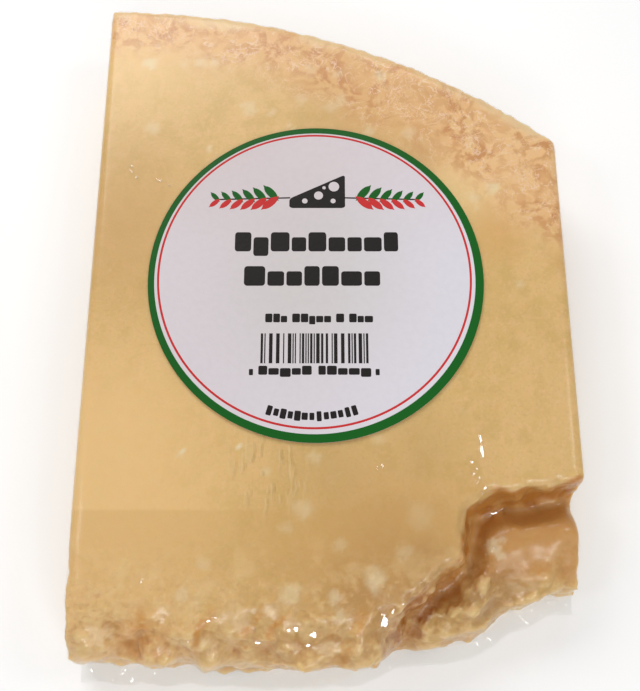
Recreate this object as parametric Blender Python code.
"""A hand-sized chunk of hard grating cheese, sealed in clear film, with a round paper label on top.

The chunk lies on one of its two flat cut faces. Its far end is an arc of the wheel's rind, its left
and right sides are straight cuts, and its near end, the toe, is broken and crumbly. At the right of
the toe the upper layer has broken away and left a lower shelf. The film ends in a flat sealed fin
along the foot of the toe.

Units are metres, +Z is up, +Y points to the rind. Shapes are laid out from a point near the label's
centre, and the last step moves the whole so that the origin is below its middle, on the table.
"""

import math

import bpy
import bmesh
from mathutils import Vector, noise

# --- driving dimensions -------------------------------------------------------------------------
THICKNESS = 0.0256
LEFT_CUT_X = -0.053
RIGHT_CUT_X = 0.057
EDGE_ROUND = 0.0022
FOOT_ROUND = 0.0014

RIND_RADIUS = 0.1763
RIND_CENTRE_X = -0.0518
RIND_CENTRE_Y = -0.1034
RIND_BULGE = 0.0007

# The toe's outline, from left to right.
TOE_LINE = [
    (-0.0530, -0.0830),
    (0.0060, -0.0840),
    (0.0190, -0.0795),
    (0.0320, -0.0785),
    (0.0430, -0.0715),
    (0.0570, -0.0680),
]
TOE_RAGGED = 0.0013
TOE_BATTER = 0.0020

# A shallow bend runs across the top face. Below it the surface tips away towards the toe.
BEND_Y = -0.0520
BEND_ROUND = 0.0020
BEND_SLOPE = math.tan(math.radians(3.5))

# Close to the toe the top face falls off in a lumpy shoulder.
SHOULDER_RUN = 0.0150
SHOULDER_DROP = 0.0060
LUMP_HEIGHT = 0.0017
LUMP_SIZE = 0.0075
HOLLOW_DEPTH = 0.0035
HOLLOW_WIDTH = 0.0030
HOLLOW_X = [-0.0405, -0.0275, -0.0175, -0.0115]

# The edge of the broken upper layer, from the right cut down to the toe.
BREAK_LINE = [
    (0.060, -0.0440),
    (0.0480, -0.0475),
    (0.0385, -0.0480),
    (0.0315, -0.0520),
    (0.0295, -0.0625),
    (0.0205, -0.0690),
    (0.0140, -0.0790),
    (0.0110, -0.0900),
]
SHELF_DEPTH = 0.0085
SHELF_TILT = 0.10
BREAK_WIDTH = 0.0026
MOAT_DEPTH = 0.0045
MOAT_WIDTH = 0.0022

# The sealed fin of the film along the foot of the toe.
FIN_WIDTH = 0.0055
FIN_WAVE = 0.0007
FIN_FLARE = 0.0018
FIN_THICKNESS = 0.0010
FIN_FADE = 0.0100

LABEL_X = -0.00095
LABEL_RADIUS = 0.0381
LABEL_THICKNESS = 0.0003
LABEL_GAP = 0.0003
LABEL_SIDES = 96

# --- how finely the faces are divided -------------------------------------------------------------
LEFT_COLUMNS = 22
RIGHT_COLUMNS = 26
COLUMNS = LEFT_COLUMNS + RIGHT_COLUMNS
RIGHT_SHARE = 0.44
TOE_ROWS = 20
TOE_SHARE = 0.28
FACE_ROWS = 20
ROUND_STEPS = 3
WALL_STEPS = 4


# --- small shared functions ---------------------------------------------------------------------
def mix(a, b, t):
    return a + (b - a) * t


def smooth(low, high, value):
    """0 below low, 1 above high, and an S-shaped curve between them."""
    t = min(max((value - low) / (high - low), 0.0), 1.0)
    return t * t * (3.0 - 2.0 * t)


def bump(centre, width, value):
    return math.exp(-(((value - centre) / width) ** 2))


def roughness(x, y, size, seed=0.0):
    """Smooth seeded unevenness between about -1 and 1, with lumps of the given size."""
    return noise.noise(Vector((x / size, y / size, seed))) + 0.5 * noise.noise(
        Vector((2.0 * x / size, 2.0 * y / size, seed + 7.0))
    )


def along_line(line, x):
    """The height of a left-to-right line of points at x, eased between them."""
    for (x0, y0), (x1, y1) in zip(line, line[1:]):
        if x <= x1:
            return mix(y0, y1, smooth(x0, x1, x))
    return line[-1][1]


def side_of_break(x, y):
    """Signed distance to the break line, positive on the side of the lower shelf."""
    nearest = None
    here = Vector((x, y))
    for start, end in zip(BREAK_LINE, BREAK_LINE[1:]):
        start = Vector(start)
        edge = Vector(end) - start
        t = min(max((here - start).dot(edge) / edge.length_squared, 0.0), 1.0)
        away = here - start - edge * t
        turn = edge.x * away.y - edge.y * away.x
        distance = math.copysign(away.length, turn)
        if nearest is None or abs(distance) < abs(nearest):
            nearest = distance
    return nearest


# --- outline ------------------------------------------------------------------------------------
def rind_y(x):
    return RIND_CENTRE_Y + math.sqrt(RIND_RADIUS**2 - (x - RIND_CENTRE_X) ** 2)


def toe_y(x):
    return along_line(TOE_LINE, x) + TOE_RAGGED * roughness(x, 0.0, 0.009, seed=3.0)


def share_of(step, near_steps, near_share, far_steps):
    """How far along a side a grid line lies, with the first lines and the last ones spaced apart."""
    if step <= near_steps:
        return near_share * step / near_steps
    return mix(near_share, 1.0, (step - near_steps) / far_steps)


def plan_point(column, row, inset):
    """The place of a grid point, on an outline drawn in by inset on every side."""
    across = share_of(column, LEFT_COLUMNS, 1.0 - RIGHT_SHARE, RIGHT_COLUMNS)
    along = share_of(row, TOE_ROWS, TOE_SHARE, FACE_ROWS)
    x = mix(LEFT_CUT_X + inset, RIGHT_CUT_X - inset, across)
    y = mix(toe_y(x) + inset, rind_y(x) - inset, along)
    return Vector((x, y, 0.0))


# --- the top face -------------------------------------------------------------------------------
def top_height(x, y):
    toe = along_line(TOE_LINE, x)
    below_bend = BEND_Y - y
    height = THICKNESS
    height -= BEND_SLOPE * 0.5 * (below_bend + math.hypot(below_bend, BEND_ROUND) - BEND_ROUND)
    shoulder = max(toe + SHOULDER_RUN - y, 0.0) / SHOULDER_RUN
    height -= SHOULDER_DROP * shoulder**2
    height += LUMP_HEIGHT * smooth(0.012, 0.030, below_bend) * roughness(x, y, LUMP_SIZE)
    for hollow_x in HOLLOW_X:
        height -= HOLLOW_DEPTH * bump(hollow_x, HOLLOW_WIDTH, x) * smooth(0.007, 0.001, y - toe)

    beyond = side_of_break(x, y) + 0.0008 * roughness(x, y, 0.005, seed=11.0)
    shelf = smooth(-0.2 * BREAK_WIDTH, BREAK_WIDTH, beyond)
    height -= shelf * (SHELF_DEPTH - SHELF_TILT * max(beyond, 0.0))
    height -= MOAT_DEPTH * bump(BREAK_WIDTH + 0.4 * MOAT_WIDTH, MOAT_WIDTH, beyond)
    height += 0.6 * LUMP_HEIGHT * shelf * roughness(x, y, LUMP_SIZE, seed=5.0)
    return height


# --- the wrapped cheese -------------------------------------------------------------------------
def boundary_steps():
    """The grid's outer points in order, counter-clockwise from above, as (column, row)."""
    last_row = TOE_ROWS + FACE_ROWS
    near = [(column, 0) for column in range(COLUMNS)]
    right = [(COLUMNS, row) for row in range(last_row)]
    far = [(column, last_row) for column in range(COLUMNS, 0, -1)]
    left = [(0, row) for row in range(last_row, 0, -1)]
    return near + right + far + left


def wall_profile(column, row, rim_height):
    """Points from just outside the top face down the side to the table, for one outer grid point."""
    inner = plan_point(column, row, EDGE_ROUND)
    outer = plan_point(column, row, 0.0)
    outward = (outer - inner).normalized()
    at_toe = 1.0 if row == 0 else smooth(FIN_FADE, 0.0, outer.y - toe_y(outer.x))
    at_rind = 1.0 if row == TOE_ROWS + FACE_ROWS else 0.0
    points = []
    for step in range(1, ROUND_STEPS + 1):
        angle = 0.5 * math.pi * step / ROUND_STEPS
        place = inner + (outer - inner) * math.sin(angle)
        place.z = rim_height - EDGE_ROUND * (1.0 - math.cos(angle))
        points.append(place)
    wall_top = rim_height - EDGE_ROUND
    wall_foot = mix(FOOT_ROUND, FIN_THICKNESS, at_toe)
    for step in range(1, WALL_STEPS + 1):
        share = step / WALL_STEPS
        out = RIND_BULGE * at_rind * math.sin(math.pi * share)
        out += at_toe * TOE_BATTER * share
        ragged = roughness(outer.x, 0.35 * share * THICKNESS, 0.008, seed=9.0)
        out += 0.0009 * at_toe * ragged * math.sin(math.pi * share)
        place = outer + outward * out
        place.z = mix(wall_top, wall_foot, share)
        points.append(place)
    reach = -FIN_WIDTH - FIN_WAVE * roughness(outer.x, 0.0, 0.016, seed=21.0)
    fin_edge = outer + Vector((FIN_FLARE * outward.x, reach, 0.0)) * at_toe
    inward = -outward * (1.0 - at_toe) * FOOT_ROUND
    foot = fin_edge + 0.3 * inward
    foot.z = mix(0.3 * FOOT_ROUND, FIN_THICKNESS, at_toe)
    points.append(foot)
    points.append(fin_edge + inward)
    return points


def add_wrapped_cheese(material):
    """A grid for the top face, its rim lofted down the sides in rings, and one flat face below."""
    mesh = bmesh.new()
    grid = {}
    for column in range(COLUMNS + 1):
        for row in range(TOE_ROWS + FACE_ROWS + 1):
            place = plan_point(column, row, EDGE_ROUND)
            place.z = top_height(place.x, place.y)
            grid[column, row] = mesh.verts.new(place)
    for column in range(COLUMNS):
        for row in range(TOE_ROWS + FACE_ROWS):
            corners = [(column, row), (column + 1, row), (column + 1, row + 1), (column, row + 1)]
            mesh.faces.new([grid[corner] for corner in corners])

    rim = boundary_steps()
    profiles = [wall_profile(column, row, grid[column, row].co.z) for column, row in rim]
    ring = [grid[step] for step in rim]
    for level in zip(*profiles):
        lower = [mesh.verts.new(place) for place in level]
        for k in range(len(ring)):
            after = (k + 1) % len(ring)
            mesh.faces.new([ring[after], ring[k], lower[k], lower[after]])
        ring = lower
    mesh.faces.new(ring[::-1])

    bmesh.ops.recalc_face_normals(mesh, faces=mesh.faces)
    bmesh.ops.triangulate(mesh, faces=mesh.faces)
    return object_from(mesh, "wrapped_cheese", material)


def add_label(material):
    """A round paper label just above the top face."""
    mesh = bmesh.new()
    bmesh.ops.create_circle(mesh, cap_ends=True, radius=LABEL_RADIUS, segments=LABEL_SIDES)
    bmesh.ops.translate(mesh, verts=mesh.verts, vec=(LABEL_X, 0.0, THICKNESS + LABEL_GAP))
    raised = bmesh.ops.extrude_face_region(mesh, geom=mesh.faces[:])
    raised_points = [item for item in raised["geom"] if isinstance(item, bmesh.types.BMVert)]
    bmesh.ops.translate(mesh, verts=raised_points, vec=(0.0, 0.0, LABEL_THICKNESS))
    bmesh.ops.recalc_face_normals(mesh, faces=mesh.faces)
    return object_from(mesh, "label", material)


# --- objects and materials ----------------------------------------------------------------------
def plain_material(name, colour, rough):
    material = bpy.data.materials.new(name)
    material.use_nodes = True
    shader = material.node_tree.nodes["Principled BSDF"]
    shader.inputs["Base Color"].default_value = (*colour, 1.0)
    shader.inputs["Roughness"].default_value = rough
    shader.inputs["Metallic"].default_value = 0.0
    return material


def object_from(mesh, name, material):
    data = bpy.data.meshes.new(name)
    mesh.to_mesh(data)
    mesh.free()
    data.materials.append(material)
    data.shade_smooth()
    data.set_sharp_from_angle(angle=math.radians(40))
    piece = bpy.data.objects.new(name, data)
    bpy.context.scene.collection.objects.link(piece)
    return piece


def stand_on_origin(pieces):
    """Moves every piece so that the middle of the whole box's underside is the origin."""
    points = [vertex.co for piece in pieces for vertex in piece.data.vertices]
    low = [min(point[axis] for point in points) for axis in range(3)]
    high = [max(point[axis] for point in points) for axis in range(3)]
    middle = Vector((mix(low[0], high[0], 0.5), mix(low[1], high[1], 0.5), low[2]))
    for piece in pieces:
        for vertex in piece.data.vertices:
            vertex.co -= middle


def main():
    for leftover in list(bpy.data.objects):
        bpy.data.objects.remove(leftover)
    cheese = plain_material("cheese_in_film", (0.62, 0.41, 0.19), 0.35)
    paper = plain_material("label_paper", (0.66, 0.62, 0.62), 0.45)
    stand_on_origin([add_wrapped_cheese(cheese), add_label(paper)])


main()
